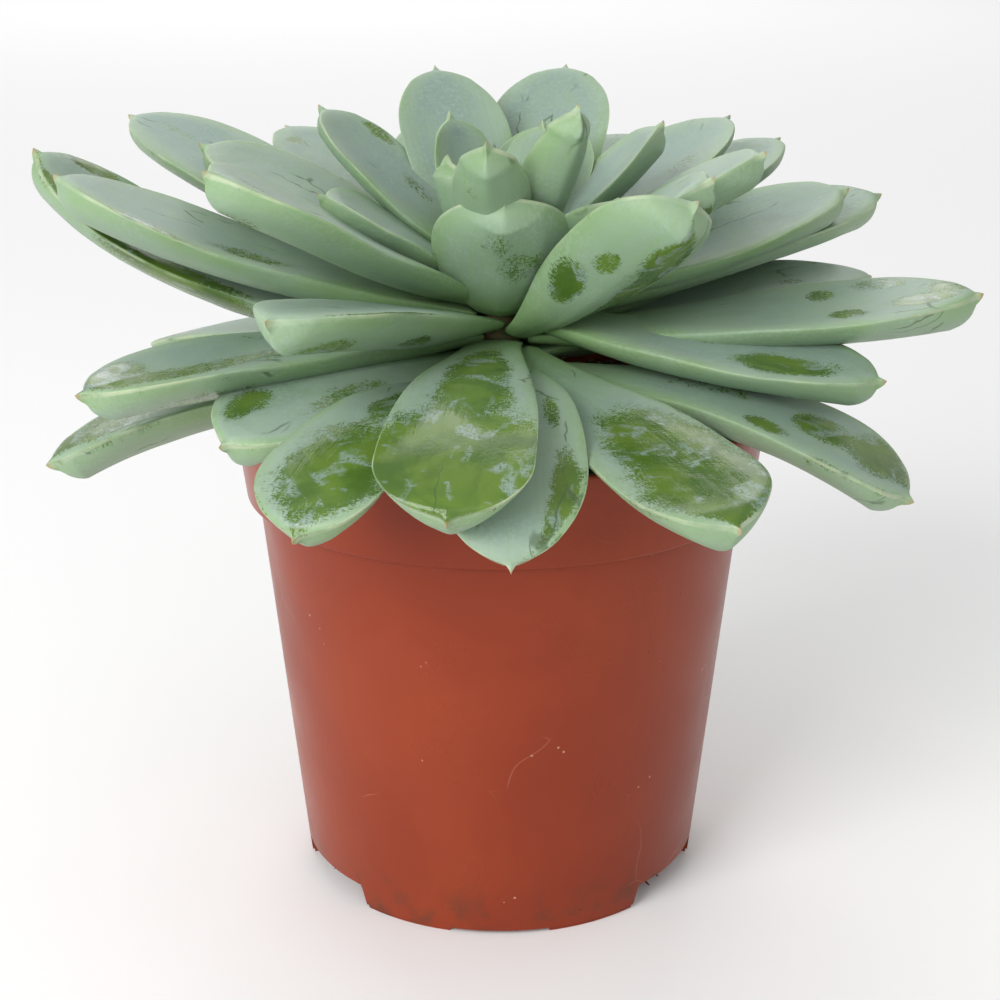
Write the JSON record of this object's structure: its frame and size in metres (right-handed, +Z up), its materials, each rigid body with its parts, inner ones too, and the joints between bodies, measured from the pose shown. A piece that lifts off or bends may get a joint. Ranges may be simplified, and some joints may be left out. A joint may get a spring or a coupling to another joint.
{
  "type": "potted succulent",
  "caption": "Rosette succulent with thick spoon-shaped leaves on a short stem, growing in soil in a small round nursery pot with a tall collar and a notched foot.",
  "frame": {"origin": "on the surface that the pot stands on, under the pot's axis and the middle of the rosette", "axes": "+Z up along the pot's axis, -Y the front, +X to the right seen from the front"},
  "size_m": [0.1561, 0.145, 0.1351],
  "materials": {
    "leaf": "satin, with a pale waxy bloom",
    "stem": "matte",
    "soil": "matte, fibrous",
    "pot": "satin moulded plastic"
  },
  "bodies": {
    "root": {"leaf_00": "leaf", "leaf_01": "leaf", "leaf_02": "leaf", "leaf_03": "leaf", "leaf_04": "leaf", "leaf_05": "leaf", "leaf_06": "leaf", "leaf_07": "leaf", "leaf_08": "leaf", "leaf_09": "leaf", "leaf_10": "leaf", "leaf_11": "leaf", "leaf_12": "leaf", "leaf_13": "leaf", "leaf_14": "leaf", "leaf_15": "leaf", "leaf_16": "leaf", "leaf_17": "leaf", "leaf_18": "leaf", "leaf_19": "leaf", "leaf_20": "leaf", "leaf_21": "leaf", "leaf_22": "leaf", "leaf_23": "leaf", "leaf_24": "leaf", "leaf_25": "leaf", "leaf_26": "leaf", "leaf_27": "leaf", "leaf_28": "leaf", "leaf_29": "leaf", "leaf_30": "leaf", "leaf_31": "leaf", "leaf_32": "leaf", "leaf_33": "leaf", "leaf_34": "leaf", "leaf_35": "leaf", "leaf_36": "leaf", "leaf_37": "leaf", "leaf_38": "leaf", "leaf_39": "leaf", "leaf_40": "leaf", "leaf_41": "leaf", "leaf_42": "leaf", "leaf_43": "leaf", "leaf_44": "leaf", "leaf_45": "leaf", "leaf_46": "leaf", "leaf_47": "leaf", "stem": "stem", "soil": "soil", "pot": "pot"}
  },
  "joints": []
}
